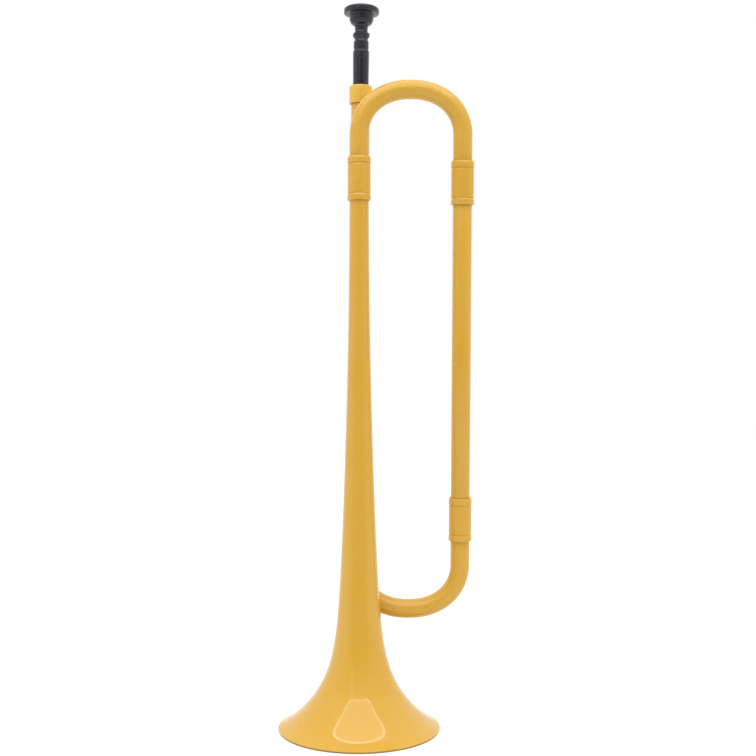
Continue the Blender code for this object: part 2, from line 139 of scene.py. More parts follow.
def smoothBelow(mesh, degrees):
    mesh.shade_smooth()
    mesh.set_sharp_from_angle(angle=math.radians(degrees))


def giveWall(piece, thickness, roundEdge, steps=3):
    wall = piece.modifiers.new("wall", "SOLIDIFY")
    wall.thickness = thickness
    wall.offset = -1.0
    wall.use_even_offset = True
    edge = piece.modifiers.new("softEdge", "BEVEL")
    edge.width = roundEdge
    edge.segments = steps
    edge.limit_method = "ANGLE"
    edge.angle_limit = math.radians(50)
    plainMesh(piece)


def finishPiece(piece, node):
    smoothBelow(piece.data, 40)
    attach(piece, bodyOf[node])
    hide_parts(node)
    print("  ", piece.name, len(piece.data.polygons), "faces")


def roundCorners(corners, steps=4):
    # corners are (radius, height, rounding); each becomes a tangent arc on the closed outline
    points = []
    count = len(corners)
    for i, (radius, height, rounding) in enumerate(corners):
        here = Vector((radius, height))
        before = Vector(corners[i - 1][:2]) - here
        after = Vector(corners[(i + 1) % count][:2]) - here
        turn = math.pi - before.angle(after)
        if rounding <= 0 or turn < 0.02:
            points.append(here)
            continue
        reach = min(rounding * math.tan(turn / 2), before.length * 0.48, after.length * 0.48)
        start, end = here + before.normalized() * reach, here + after.normalized() * reach
        for k in range(steps + 1):
            t = k / steps
            points.append(start * (1 - t) ** 2 + here * (2 * t * (1 - t)) + end * t ** 2)
    return [Vector((p.x, 0.0, p.y)) for p in points]


def linkPiece(name, mesh):
    piece = bpy.data.objects.new(name, mesh)
    bpy.context.scene.collection.objects.link(piece)
    return piece


def linkShape(name, shape):
    mesh = bpy.data.meshes.new(name)
    shape.to_mesh(mesh)
    shape.free()
    return linkPiece(name, mesh)


def storeSeam(tree, geometry, distance):
    inputs = {"Geometry": geometry, "Name": "seam", "Value": distance}
    made = addNode(tree, "GeometryNodeStoreNamedAttribute", inputs, data_type="FLOAT", domain="POINT")
    return made.outputs[0]


def loopEdges(points):
    return [(i, (i + 1) % len(points)) for i in range(len(points))]


def middleOf(node):
    low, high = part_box(node)
    return (low + high) / 2


# finishes

def noise(tree, place, scale, detail, roughness=0.5):
    inputs = {"Vector": place, "Scale": scale, "Detail": detail, "Roughness": roughness}
    return addNode(tree, "ShaderNodeTexNoise", inputs).outputs["Fac"]


def ramp(tree, value, low, high, start=0.0, end=1.0, kind="LINEAR"):
    inputs = {"Value": value, "From Min": low, "From Max": high, "To Min": start, "To Max": end}
    return addNode(tree, "ShaderNodeMapRange", inputs, interpolation_type=kind).outputs[0]


def blend(tree, share, first, second):
    inputs = {"Factor": share, "A": first, "B": second}
    return addNode(tree, "ShaderNodeMix", inputs, data_type="RGBA").outputs["Result"]


def newFinish(name, look):
    material = bpy.data.materials.new(name)
    material.use_nodes = True
    tree = material.node_tree
    shader = tree.nodes["Principled BSDF"]
    shader.inputs["IOR"].default_value = look["ior"]
    return material, tree, shader, addNode(tree, "ShaderNodeTexCoord").outputs["Object"]


def endFinish(tree, shader, height):
    bump = addNode(tree, "ShaderNodeBump", {"Height": height, "Strength": 1.0, "Distance": 1.0})
    tree.links.new(bump.outputs[0], shader.inputs["Normal"])
    spreadNodes(tree)


goldenPlasticLook = {
    "body": (0.640, 0.360, 0.0310, 1.0),
    "warm": (0.648, 0.354, 0.0270, 1.0),
    "pale": (0.645, 0.372, 0.0400, 1.0),
    "cloudScale": 26.0,
    "flowStretch": (150.0, 150.0, 9.0),
    "streakShare": 0.55,
    "bellRoughness": (0.065, 0.11),
    "tubeRoughness": (0.20, 0.30),
    "hazeScale": 48.0,
    "peelScale": 620.0,
    "peelHeight": 0.000010,
    "seamWidth": 0.00030,
    "seamHeight": 0.000045,
    "seamColour": (0.36, 0.16, 0.012, 1.0),
    "seamShade": 0.24,
    "seamRoughness": 0.25,
    # painted shade at the foot of the bell's rim: the height span it fades over, and its dark colour
    "rimPaintedShadeFrom": 0.00055,
    "rimPaintedShadeTo": 0.00130,
    "rimPaintedShadeColour": (0.235, 0.125, 0.030, 1.0),
    "ior": 1.53,
}
# painted light: a brighter copy of the golden plastic for the receiver, standing in for the extra light falling
# on it
receiverPaintedLightLook = {
    **goldenPlasticLook,
    "body": (0.735, 0.442, 0.042, 1.0),
    "warm": (0.742, 0.434, 0.038, 1.0),
    "pale": (0.740, 0.456, 0.051, 1.0),
}
collarSeam = 0.45


def makeGoldenPlastic(name, look, roughness, seamShows=1.0, rimPaintedShade=False):
    material, tree, shader, place = newFinish(name, look)

    # slow clouds of pigment, then thin streaks where the melt ran along the tube
    clouds = noise(tree, place, look["cloudScale"], 3.0, 0.55)
    tint = blend(tree, ramp(tree, clouds, 0.38, 0.64), look["warm"], look["pale"])
    run = addNode(tree, "ShaderNodeMapping", {"Vector": place, "Scale": look["flowStretch"]})
    streaks = noise(tree, run.outputs[0], 1.0, 4.0, 0.6)
    streaks = ramp(tree, streaks, 0.35, 0.7, 0.0, look["streakShare"])
    base = blend(tree, streaks, tint, look["body"])

    # parting line left by the mould halves
    seam = addNode(tree, "ShaderNodeAttribute", attribute_name="seam")
    distance = calc(tree, "ABSOLUTE", seam.outputs["Fac"])
    line = ramp(tree, distance, 0.0, look["seamWidth"], 1.0, 0.0, "SMOOTHSTEP")
    line = calc(tree, "MULTIPLY", line, seamShows)
    colour = blend(tree, calc(tree, "MULTIPLY", line, look["seamShade"]), base, look["seamColour"])
    if rimPaintedShade:
        # painted shade: the foot of the rim is darkened in the colour, standing in for the shadowed bottom edge
        level = addNode(tree, "ShaderNodeSeparateXYZ", {"Vector": place}).outputs["Z"]
        foot = ramp(tree, level, look["rimPaintedShadeFrom"], look["rimPaintedShadeTo"], 1.0, 0.0, "SMOOTHSTEP")
        colour = blend(tree, foot, colour, look["rimPaintedShadeColour"])
    tree.links.new(colour, shader.inputs["Base Color"])

    # handling haze
    haze = noise(tree, place, look["hazeScale"], 5.0, 0.6)
    gloss = ramp(tree, haze, 0.35, 0.7, *roughness)
    rough = calc(tree, "ADD", gloss, calc(tree, "MULTIPLY", line, look["seamRoughness"]))
    tree.links.new(rough, shader.inputs["Roughness"])

    # orange peel, and the seam standing slightly proud
    height = calc(tree, "MULTIPLY", noise(tree, place, look["peelScale"], 1.5), look["peelHeight"])
    height = calc(tree, "ADD", height, calc(tree, "MULTIPLY", line, look["seamHeight"]))
    endFinish(tree, shader, height)
    return material


blackPlasticLook = {
    "deep": (0.0085, 0.0078, 0.0160, 1.0),
    "worn": (0.0150, 0.0140, 0.0235, 1.0),
    "cloudScale": 190.0,
    "grainScale": 900.0,
    "lathePitch": 0.00042,
    "latheHeight": 0.0000025,
    "ringShare": 0.35,
    "grainShare": 1.2,
    "roughness": (0.17, 0.27),
    "ior": 1.50,
}


def makeBlackPlastic(name, look):
    material, tree, shader, place = newFinish(name, look)
    clouds = noise(tree, place, look["cloudScale"], 6.0, 0.65)
    tint = blend(tree, ramp(tree, clouds, 0.36, 0.68), look["deep"], look["worn"])
    tree.links.new(tint, shader.inputs["Base Color"])
    gloss = ramp(tree, clouds, 0.3, 0.7, *look["roughness"])
    tree.links.new(gloss, shader.inputs["Roughness"])

    # rings copied from the turned mould, under a fine grain
    along = addNode(tree, "ShaderNodeSeparateXYZ", {"Vector": place}).outputs["Z"]
    turns = calc(tree, "SINE", calc(tree, "MULTIPLY", along, math.tau / look["lathePitch"]))
    grain = noise(tree, place, look["grainScale"], 2.0)
    rings = calc(tree, "MULTIPLY", turns, look["latheHeight"] * look["ringShare"])
    grain = calc(tree, "MULTIPLY", grain, look["latheHeight"] * look["grainShare"])
    endFinish(tree, shader, calc(tree, "ADD", rings, grain))
    return material


tubeRoughness = goldenPlasticLook["tubeRoughness"]
goldenBellPlastic = makeGoldenPlastic(
    "goldenBellPlastic", goldenPlasticLook, goldenPlasticLook["bellRoughness"], rimPaintedShade=True)
goldenTubePlastic = makeGoldenPlastic("goldenTubePlastic", goldenPlasticLook, tubeRoughness)
goldenReceiverPaintedLight = makeGoldenPlastic("goldenReceiverPaintedLight", receiverPaintedLightLook, tubeRoughness)
goldenCollarPlastic = makeGoldenPlastic(
    "goldenCollarPlastic", goldenPlasticLook, tubeRoughness, collarSeam)
blackPlastic = makeBlackPlastic("blackPlastic", blackPlasticLook)
print("finishes ready")


# bell: the horn's rule lives in its tree, and the wall grows inwards afterwards

bellSizes = {
    "Rim edge": 0.0013,
    "Taper": 0.0133,
    "Taper power": 2.05,
    "Lip": 0.0052,
    "Lip reach": 0.0040,
    "Flare reach": 0.0270,
    "Flare power": 1.228,
    "Tail radius": 0.0072,
    "Ring crowding": 2.1,
    "Rings": 130,
    "Sides": 160,
}
bellWall = {"thickness": 0.0015, "roundEdge": 0.00045}


def makeHornTree():
    tree, given = newShapeTree("hornBell", {
        "Rim radius": "size", "Tail radius": "size", "Length": "size", "Rim edge": "size",
        "Taper": "size", "Taper power": "size", "Flare reach": "size", "Flare power": "size",
        "Lip": "size", "Lip reach": "size", "Ring crowding": "size", "Rings": "count",
        "Sides": "count", "Place": "place", "Finish": "finish"})
    rings = calc(tree, "ADD", given["Rings"], 1.0)
    sides = calc(tree, "ADD", given["Sides"], 1.0)
    sheet = addNode(tree, "GeometryNodeMeshGrid", {
        "Size X": 1.0, "Size Y": 1.0, "Vertices X": rings, "Vertices Y": sides})
    flat = addNode(tree, "GeometryNodeInputPosition").outputs[0]
    split = addNode(tree, "ShaderNodeSeparateXYZ", {"Vector": flat})
    along = calc(tree, "ADD", split.outputs["X"], 0.5)
    angle = calc(tree, "MULTIPLY", calc(tree, "ADD", split.outputs["Y"], 0.5), math.tau)

    # first ring is the foot of the blunt rim, the others climb from the rim to the tail
    climb = calc(tree, "SUBTRACT", calc(tree, "MULTIPLY", along, given["Rings"]), 1.0)
    climb = calc(tree, "DIVIDE", climb, calc(tree, "SUBTRACT", given["Rings"], 1.0))
    climb = calc(tree, "POWER", calc(tree, "MAXIMUM", climb, 0.0), given["Ring crowding"])
    span = calc(tree, "SUBTRACT", given["Length"], given["Rim edge"])
    height = calc(tree, "MULTIPLY", climb, span)
    isFoot = calc(tree, "LESS_THAN", calc(tree, "MULTIPLY", along, given["Rings"]), 0.5)
    lifted = calc(tree, "MULTIPLY", calc(tree, "SUBTRACT", 1.0, isFoot), given["Rim edge"])
    level = calc(tree, "ADD", height, lifted)

    # radius = tail + taper + flare + lip
    left = calc(tree, "SUBTRACT", 1.0, calc(tree, "DIVIDE", height, given["Length"]))
    taper = calc(tree, "POWER", calc(tree, "MAXIMUM", left, 0.0), given["Taper power"])
    taper = calc(tree, "MULTIPLY", given["Taper"], taper)
    others = calc(tree, "ADD", given["Tail radius"], calc(tree, "ADD", given["Taper"], given["Lip"]))
    gain = calc(tree, "SUBTRACT", given["Rim radius"], others)
    fall = calc(tree, "POWER", calc(tree, "DIVIDE", height, given["Flare reach"]), given["Flare power"])
    flare = calc(tree, "MULTIPLY", gain, calc(tree, "EXPONENT", calc(tree, "MULTIPLY", fall, -1.0)))
    lip = calc(tree, "DIVIDE", calc(tree, "MULTIPLY", height, -1.0), given["Lip reach"])
    lip = calc(tree, "MULTIPLY", given["Lip"], calc(tree, "EXPONENT", lip))
    radius = calc(tree, "ADD", calc(tree, "ADD", given["Tail radius"], taper), calc(tree, "ADD", flare, lip))

    spot = addNode(tree, "ShaderNodeCombineXYZ", {
        "X": calc(tree, "MULTIPLY", radius, calc(tree, "COSINE", angle)),
        "Y": calc(tree, "MULTIPLY", radius, calc(tree, "SINE", angle)),
        "Z": level})
    horn = addNode(tree, "GeometryNodeSetPosition", {
        "Geometry": sheet.outputs["Mesh"], "Position": spot.outputs[0]})
    closed = addNode(tree, "GeometryNodeMergeByDistance", {
        "Geometry": horn.outputs[0], "Distance": 0.000005})
    bent = addNode(tree, "GeometryNodeInputPosition").outputs[0]
    side = addNode(tree, "ShaderNodeSeparateXYZ", {"Vector": bent})
    marked = storeSeam(tree, closed.outputs[0], side.outputs["Y"])
    moved = addNode(tree, "GeometryNodeTransform", {"Geometry": marked, "Translation": given["Place"]})
    endShapeTree(tree, moved.outputs[0], given["Finish"])
    return tree


def makeBell():
    low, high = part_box("bell")
    settings = dict(bellSizes)
    settings["Rim radius"] = (high.x - low.x) / 2
    settings["Length"] = high.z - low.z
    settings["Place"] = ((low.x + high.x) / 2, (low.y + high.y) / 2, low.z)
    settings["Finish"] = goldenBellPlastic
    bell = runTree("bellHorn", makeHornTree(), settings)
    pointOutwards(bell.data)
    giveWall(bell, bellWall["thickness"], bellWall["roundEdge"])
    finishPiece(bell, "bell")


print("bell")
makeBell()


# turned pieces: a closed outline is carried round its own axis, then leaned into place

def makeTurningTree():
    tree, given = newShapeTree("turnedOutline", {
        "Sides": "count", "Seam turn": "size", "Place": "place", "Lean": "turn", "Finish": "finish"})
    outline = given["Geometry"]
    count = addNode(tree, "GeometryNodeAttributeDomainSize", {"Geometry": outline}).outputs["Point Count"]
    sheet = addNode(tree, "GeometryNodeMeshGrid", {
        "Size X": 1.0, "Size Y": 1.0, "Vertices X": calc(tree, "ADD", count, 1.0),
        "Vertices Y": calc(tree, "ADD", given["Sides"], 1.0)})
    spot = addNode(tree, "GeometryNodeInputPosition").outputs[0]
    split = addNode(tree, "ShaderNodeSeparateXYZ", {"Vector": spot})
    row = calc(tree, "ROUND", calc(tree, "MULTIPLY", calc(tree, "ADD", split.outputs["X"], 0.5), count))
    row = calc(tree, "FLOORED_MODULO", row, count)
    angle = calc(tree, "MULTIPLY", calc(tree, "ADD", split.outputs["Y"], 0.5), math.tau)
    onOutline = addNode(
        tree, "GeometryNodeSampleIndex", {"Geometry": outline, "Value": spot, "Index": row},
        data_type="FLOAT_VECTOR", domain="POINT")
    drawn = addNode(tree, "ShaderNodeSeparateXYZ", {"Vector": onOutline.outputs[0]})
    turned = addNode(tree, "ShaderNodeCombineXYZ", {
        "X": calc(tree, "MULTIPLY", drawn.outputs["X"], calc(tree, "COSINE", angle)),
        "Y": calc(tree, "MULTIPLY", drawn.outputs["X"], calc(tree, "SINE", angle)),
        "Z": drawn.outputs["Z"]})
    ring = addNode(tree, "GeometryNodeSetPosition", {
        "Geometry": sheet.outputs["Mesh"], "Position": turned.outputs[0]})
    closed = addNode(tree, "GeometryNodeMergeByDistance", {
        "Geometry": ring.outputs[0], "Distance": 0.000002})
    across = addNode(
        tree, "ShaderNodeVectorRotate", {"Vector": spot, "Angle": given["Seam turn"]},
        rotation_type="Z_AXIS")
    side = addNode(tree, "ShaderNodeSeparateXYZ", {"Vector": across.outputs[0]})
    marked = storeSeam(tree, closed.outputs[0], side.outputs["Y"])
    leaned = addNode(tree, "GeometryNodeTransform", {
        "Geometry": marked, "Translation": given["Place"], "Rotation": given["Lean"]})
    endShapeTree(tree, leaned.outputs[0], given["Finish"])
    return tree


turningTree = makeTurningTree()
turnedSides = 96


def leanTo(axis):
    return Vector((0.0, 0.0, 1.0)).rotation_difference(axis).to_euler()


def turnPiece(name, node, outline, place, axis, finish, seamTurn=0.0):
    settings = {"Sides": turnedSides, "Seam turn": seamTurn, "Place": tuple(place),
                "Lean": tuple(leanTo(axis)), "Finish": finish}
    piece = runTree(name, turningTree, settings, outline, loopEdges(outline))
    pointOutwards(piece.data)
    finishPiece(piece, node)


# tubing: routes are worked out from the frame's own boxes

tubeSizes = {
    "radius": 0.0072,
    "wall": 0.0013,
    "corner": 0.0342,
    "archRise": 0.0347,
    "archSquareness": 2.15,
    "archSteps": 96,
    "sides": 64,
    "softEdge": 0.00015,
    "stopAway": 0.0009,
    "slantRoom": 0.0004,
}

straightLow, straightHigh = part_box("straight_tube")
tubeTop = Vector((straightHigh.x - tubeSizes["radius"], straightLow.y + tubeSizes["radius"], straightHigh.z))
tubeFoot = Vector((straightLow.x + tubeSizes["radius"], straightHigh.y - tubeSizes["radius"], straightLow.z))
straightSlope = (tubeFoot - tubeTop) / (tubeTop.z - tubeFoot.z)
straightSlope.z = 0.0
straightAxis = (tubeTop - tubeFoot).normalized()
pipeLow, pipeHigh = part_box("leadpipe")
pipeFoot = Vector((pipeLow.x + tubeSizes["radius"], (pipeLow.y + pipeHigh.y) / 2, pipeLow.z))
pipeTop = Vector((pipeHigh.x - tubeSizes["radius"], pipeFoot.y, pipeHigh.z))


def onStraightTube(height):
    return tubeTop.lerp(tubeFoot, (tubeTop.z - height) / (tubeTop.z - tubeFoot.z))


def archPoints(span):
    # a squared-off half ring, rounder than two elbows and a straight run
    power = 2 / tubeSizes["archSquareness"]
    points = []
    for i in range(tubeSizes["archSteps"] + 1):
        turn = math.pi * i / tubeSizes["archSteps"]
        across = math.copysign(abs(math.cos(turn)) ** power, math.cos(turn))
        points.append((span / 2 * (1 - across), tubeSizes["archRise"] * abs(math.sin(turn)) ** power))
    return points


def archLength(points):
    return sum(math.dist(a, b) for a, b in zip(points, points[1:]))


def bowRoute(start, foot, span, side, drift, end):
    # the drift grows along the bow, so both legs meet their tubes in line
    arch = archPoints(span)
    length = archLength(arch)
    points = [start]
    travelled = 0.0
    for i, (across, up) in enumerate(arch):
        travelled += math.dist(arch[i - 1], arch[i]) if i else 0.0
        points.append(foot + drift * (travelled * travelled / (2 * length)) + Vector((across, 0.0, side * up)))
    return points + [end]


def landingSpan(foot, drift):
    # the width that lands the bow on the straight tube's own line
    target = onStraightTube(foot.z).x - foot.x
    span = target
    for _ in range(20):
        span = target - drift.x * archLength(archPoints(span)) / 2
    return span


def makeSweepTree():
    tree, given = newShapeTree("sweptTube", {
        "Tube radius": "size", "Sides": "count", "Seam side": "place", "Finish": "finish"})
    route = addNode(tree, "GeometryNodeMeshToCurve", {"Mesh": given["Geometry"]}).outputs[0]
    section = addNode(tree, "GeometryNodeCurvePrimitiveCircle", {
        "Resolution": given["Sides"], "Radius": given["Tube radius"]})
    skin = addNode(tree, "GeometryNodeCurveToMesh", {
        "Curve": route, "Profile Curve": section.outputs["Curve"]})
    facing = addNode(tree, "GeometryNodeInputNormal").outputs[0]
    off = addNode(
        tree, "ShaderNodeVectorMath", {0: facing, 1: given["Seam side"]}, operation="DOT_PRODUCT")
    distance = calc(tree, "MULTIPLY", off.outputs["Value"], given["Tube radius"])
    endShapeTree(tree, storeSeam(tree, skin.outputs[0], distance), given["Finish"])
    return tree


sweepTree = makeSweepTree()


def sweepPiece(name, node, route):
    settings = {"Tube radius": tubeSizes["radius"], "Sides": tubeSizes["sides"],
                "Seam side": (0.0, 1.0, 0.0), "Finish": goldenTubePlastic}
    piece = runTree(name, sweepTree, settings, route, [(i, i + 1) for i in range(len(route) - 1)])
    aimSkin(piece.data, route)
    giveWall(piece, tubeSizes["wall"], tubeSizes["softEdge"], 2)
    finishPiece(piece, node)


def aimSkin(mesh, route):
    # an open tube has no inside to test, so its first face is compared with the route
    face = mesh.polygons[0]
    nearest = min(route, key=lambda p: (p - face.center).length)
    if face.normal.dot(face.center - nearest) < 0:
        mesh.flip_normals()


def makeTubes():
    # each tube stops short of the middle of its sleeve, clear of the rib inside
    stop = tubeSizes["stopAway"]
    room = tubeSizes["slantRoom"]
    bellMiddle = middleOf("bell")
    low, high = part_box("top_bow")
    foot = Vector((bellMiddle.x, bellMiddle.y, high.z - tubeSizes["radius"] - tubeSizes["corner"]))
    start = Vector((foot.x, foot.y, middleOf("bell_tail_sleeve").z + stop))
    span = landingSpan(foot, straightSlope)
    route = bowRoute(start, foot, span, 1, straightSlope, onStraightTube(low.z + room))
    sweepPiece("upperBow", "top_bow", route)

    low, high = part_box("bottom_bow")
    foot = Vector((pipeFoot.x, pipeFoot.y, low.z + tubeSizes["radius"] + tubeSizes["corner"]))
    start = Vector((foot.x, foot.y, middleOf("leadpipe_sleeve").z - stop))
    span = landingSpan(foot, -straightSlope)
    route = bowRoute(start, foot, span, -1, -straightSlope, onStraightTube(high.z - room))
    sweepPiece("lowerBow", "bottom_bow", route)

    upperEnd = onStraightTube(middleOf("upper_tube_sleeve").z - stop)
    lowerEnd = onStraightTube(middleOf("lower_tube_sleeve").z + stop)
    sweepPiece("straightTube", "straight_tube", [upperEnd, lowerEnd])
    sweepPiece("leadpipeTube", "leadpipe", [pipeFoot, pipeTop])


print("tubing")
makeTubes()


# sleeves: one outline in four places, with a roomier socket behind the bell

sleeveSizes = {
    "length": 0.0330,
    "middleRadius": 0.0086,
    "bandRadius": 0.0088,
    "bandLength": 0.0051,
    "footBandLength": 0.0054,
    "shoulder": (0.0014, 0.0005),
    "footRound": 0.0005,
    "grooveRadius": 0.00822,
    "grooveFlat": 0.0004,
    "grooveSlope": 0.0013,
    "socketRadius": 0.00727,
    "leaningSocketRadius": 0.0075,
    "stopRadius": 0.0059,
    "stopWidth": 0.0012,
}


def sleeveOutline(s):
    # each groove has a sharp upper wall and a sloping lower one; the top edge slopes the same way
    top = s["length"] / 2
    drop, step = s["shoulder"]
    upperGroove = top - s["bandLength"]
    lowerGroove = -top + s["footBandLength"]
    outer = [(s["bandRadius"] - step, top, 0.00015), (s["bandRadius"], top - drop, 0.0004)]
    for groove, above, below in (
        (upperGroove, s["bandRadius"], s["middleRadius"]),
        (lowerGroove, s["middleRadius"], s["bandRadius"]),
    ):
        outer += [
            (above, groove, 0.00015),
            (s["grooveRadius"], groove - 0.0001, 0.0001),
            (s["grooveRadius"] + 0.00005, groove - s["grooveFlat"], 0.0001),
            (below, groove - s["grooveFlat"] - s["grooveSlope"], 0.0003),
        ]
    outer.append((s["bandRadius"], -top, s["footRound"]))
    rib = s["stopWidth"] / 2
    inner = [
        (s["socketRadius"], -top, 0.0002), (s["socketRadius"], -rib, 0.0),
        (s["stopRadius"], -rib, 0.0), (s["stopRadius"], rib, 0.0),
        (s["socketRadius"], rib, 0.0), (s["socketRadius"], top, 0.0002),
    ]
    return roundCorners(outer + inner)


def makeSleeves():
    outline = sleeveOutline(sleeveSizes)
    # the leadpipe leans and the lower bow's leg in the same sleeve stands upright
    roomyOutline = sleeveOutline({**sleeveSizes, "socketRadius": sleeveSizes["leaningSocketRadius"]})
    upright = Vector((0.0, 0.0, 1.0))
    for name, node, axis, shape in (
        ("bellSleeve", "bell_tail_sleeve", upright, outline),
        ("upperSleeve", "upper_tube_sleeve", straightAxis, outline),
        ("lowerSleeve", "lower_tube_sleeve", straightAxis, outline),
        ("leadpipeSleeve", "leadpipe_sleeve", pullAxis, roomyOutline),
    ):
        turnPiece(name, node, shape, middleOf(node), axis, goldenCollarPlastic)


print("sleeves")
makeSleeves()


# mouthpiece and its receiver share the leadpipe's leaning axis

receiverSizes = {"radius": 0.0088, "length": 0.0138, "topRound": 0.0013, "footRound": 0.0005,
                 "socket": 0.0075, "bore": 0.0059, "cap": 0.0030}


def receiverTop():
    return middleOf("mouthpiece_receiver") + pullAxis * receiverSizes["length"] / 2


def makeReceiver():
    s = receiverSizes
    outline = roundCorners([
        (s["bore"], 0.0, 0.0003), (s["radius"], 0.0, s["topRound"]), (s["radius"], -s["length"], s["footRound"]),
        (s["socket"], -s["length"], 0.0002), (s["socket"], -s["cap"], 0.0), (s["bore"], -s["cap"], 0.0)])
    turnPiece("mouthpieceReceiver", "mouthpiece_receiver", outline,
              receiverTop(), pullAxis, goldenReceiverPaintedLight, seamTurn=math.pi / 2)


# rows of radius, height above the receiver's top and rounding, up the outside and back down the bore
mouthpieceOutline = [
    (0.0091, 0.0604, 0.0012), (0.0118, 0.0604, 0.0016), (0.0135, 0.0592, 0.0012), (0.0135, 0.0555, 0.0007),
    (0.0096, 0.0552, 0.0006), (0.0093, 0.0545, 0.0010), (0.0092, 0.0508, 0.0030), (0.0078, 0.0478, 0.0030),
    (0.0057, 0.0467, 0.0012), (0.0050, 0.0453, 0.0010), (0.0049, 0.0424, 0.0002), (0.0052, 0.0411, 0.0001),
    (0.0056, 0.0410, 0.0003), (0.0065, 0.0402, 0.0008), (0.0065, 0.0384, 0.0010), (0.0056, 0.0371, 0.0006),
    (0.0051, 0.0362, 0.0004), (0.0050, 0.0358, 0.0002), (0.0054, 0.0345, 0.0001), (0.0058, 0.0340, 0.0003),
    (0.0058, 0.0290, 0.0002), (0.0055, 0.0287, 0.0001),
    (0.0055, 0.0276, 0.0001), (0.0059, 0.0272, 0.0002), (0.00625, 0.0264, 0.0003), (0.0060, 0.0003, 0.0002),
    (0.0056, 0.0003, 0.0), (0.0052, -0.0260, 0.0003), (0.0038, -0.0260, 0.0002), (0.0019, 0.0409, 0.0010),
    (0.0019, 0.0477, 0.0010), (0.0028, 0.0491, 0.0015), (0.0056, 0.0516, 0.0040), (0.0074, 0.0560, 0.0040),
    (0.0081, 0.0594, 0.0014),
]


def makeMouthpiece():
    outline = roundCorners(mouthpieceOutline, steps=5)
    turnPiece("cupMouthpiece", "mouthpiece", outline, receiverTop(), pullAxis, blackPlastic)


print("mouthpiece end")
makeReceiver()
makeMouthpiece()


# braces between the bell and the leadpipe, shaped by cutting saddles out of soft blocks

braceSizes = {"web": 0.0030, "webLength": 0.0125, "padWidth": 0.0092, "padRise": 0.0012, "padSink": 0.0036,
              "length": 0.0160, "soften": 0.0007, "gap": 0.0003}


def blockMesh(name, size, middle, soften):
    shape = bmesh.new()
    place = Matrix.Translation(middle) @ Matrix.Diagonal((*size, 1.0))
    bmesh.ops.create_cube(shape, size=1.0, matrix=place)
    bmesh.ops.bevel(shape, geom=shape.edges[:], offset=soften, segments=4, profile=0.5,
                    affect="EDGES", clamp_overlap=True)
    return linkShape(name, shape)


def rodMesh(name, radius, start, end):
    along = end - start
    shape = bmesh.new()
    turn = Vector((0.0, 0.0, 1.0)).rotation_difference(along).to_matrix().to_4x4()
    bmesh.ops.create_cone(shape, cap_ends=True, segments=96, radius1=radius, radius2=radius,
                          depth=along.length, matrix=Matrix.Translation((start + end) / 2) @ turn)
    return linkShape(name, shape)


def hornRadius(height):
    s = bellSizes
    low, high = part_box("bell")
    rimRadius = (high.x - low.x) / 2
    gain = rimRadius - s["Tail radius"] - s["Taper"] - s["Lip"]
    h = height - s["Rim edge"]
    taper = s["Taper"] * max(0.0, 1 - h / (high.z - low.z)) ** s["Taper power"]
    flare = gain * math.exp(-((h / s["Flare reach"]) ** s["Flare power"]))
    return s["Tail radius"] + taper + flare + s["Lip"] * math.exp(-h / s["Lip reach"])


def makeBrace(name, node):
    s = braceSizes
    bellMiddle = middleOf("bell")
    height = middleOf(node).z
    onPipe = pipeFoot.lerp(pipeTop, (height - pipeFoot.z) / (pipeTop.z - pipeFoot.z))
    bellFit = hornRadius(height - s["length"] / 2) + s["gap"]
    pipeFit = tubeSizes["radius"] + s["gap"]
    nearBell = Vector((bellMiddle.x, bellMiddle.y + bellFit, height))
    nearPipe = Vector((onPipe.x, onPipe.y - pipeFit, height))
    between = ((bellMiddle.x + onPipe.x) / 2, (bellMiddle.y + onPipe.y) / 2, height)
    webSize = (s["web"], onPipe.y - bellMiddle.y, s["webLength"])
    web = blockMesh(name, webSize, between, s["soften"])
    depth = s["padRise"] + s["padSink"]
    shift = Vector((0.0, (s["padRise"] - s["padSink"]) / 2, 0.0))
    padSize = (s["padWidth"], depth, s["length"])
    pads = [blockMesh(name + "PadBell", padSize, nearBell + shift, s["soften"]),
            blockMesh(name + "PadPipe", padSize, nearPipe - shift, s["soften"])]
    onBell = Vector((bellMiddle.x, bellMiddle.y, height))
    upBell, upPipe = Vector((0.0, 0.0, s["length"])), pullAxis * s["length"]
    cuts = [rodMesh(name + "CutBell", bellFit, onBell - upBell, onBell + upBell),
            rodMesh(name + "CutPipe", pipeFit, onPipe - upPipe, onPipe + upPipe)]
    for tool, way in [(pad, "UNION") for pad in pads] + [(cut, "DIFFERENCE") for cut in cuts]:
        change = web.modifiers.new(tool.name, "BOOLEAN")
        change.operation = way
        change.solver = "EXACT"
        change.object = tool
    bpy.context.view_layer.update()
    plainMesh(web)
    for tool in pads + cuts:
        bpy.data.objects.remove(tool)
    web.data.materials.clear()
    web.data.materials.append(goldenTubePlastic)
    seam = web.data.attributes.new("seam", "FLOAT", "POINT")
    for spot, vertex in zip(seam.data, web.data.vertices):
        spot.value = vertex.co.x - between[0]
    finishPiece(web, node)


print("braces")
makeBrace("lowerBrace", "lower_brace")
makeBrace("upperBrace", "upper_brace")


# studio

studio = {
    "floorEdges": (-2.2, 2.2, -0.95, 2.6),
    "floorShade": (0.30, 0.30, 0.30, 1.0),
    "floorGlow": 0.74,
    "floorDrop": 0.0002,
    "tentSide": 1.01,
    "tentTop": 1.08,
    "tentFront": 0.40,
    "ceilingHalf": (1.22, 1.04),
    "ceilingMiddle": (0.0, -0.95, 2.20),
    "ceilingRound": 0.52,
    "ceilingAimedFrom": (-0.013, -0.040, 0.020),
    "ceilingBack": (0.0, 0.10, 2.20),
    "ceilingFront": (0.0, -0.95, 1.02),
    "ceilingPower": 2.4,
    "ceilingFrame": 0.085,
    "ceilingFramePower": 6.6,
    "stripHalf": (0.030, 0.50),
    "stripMiddle": (-0.60, -1.38, 1.02),
    "stripPower": 2.8,
}


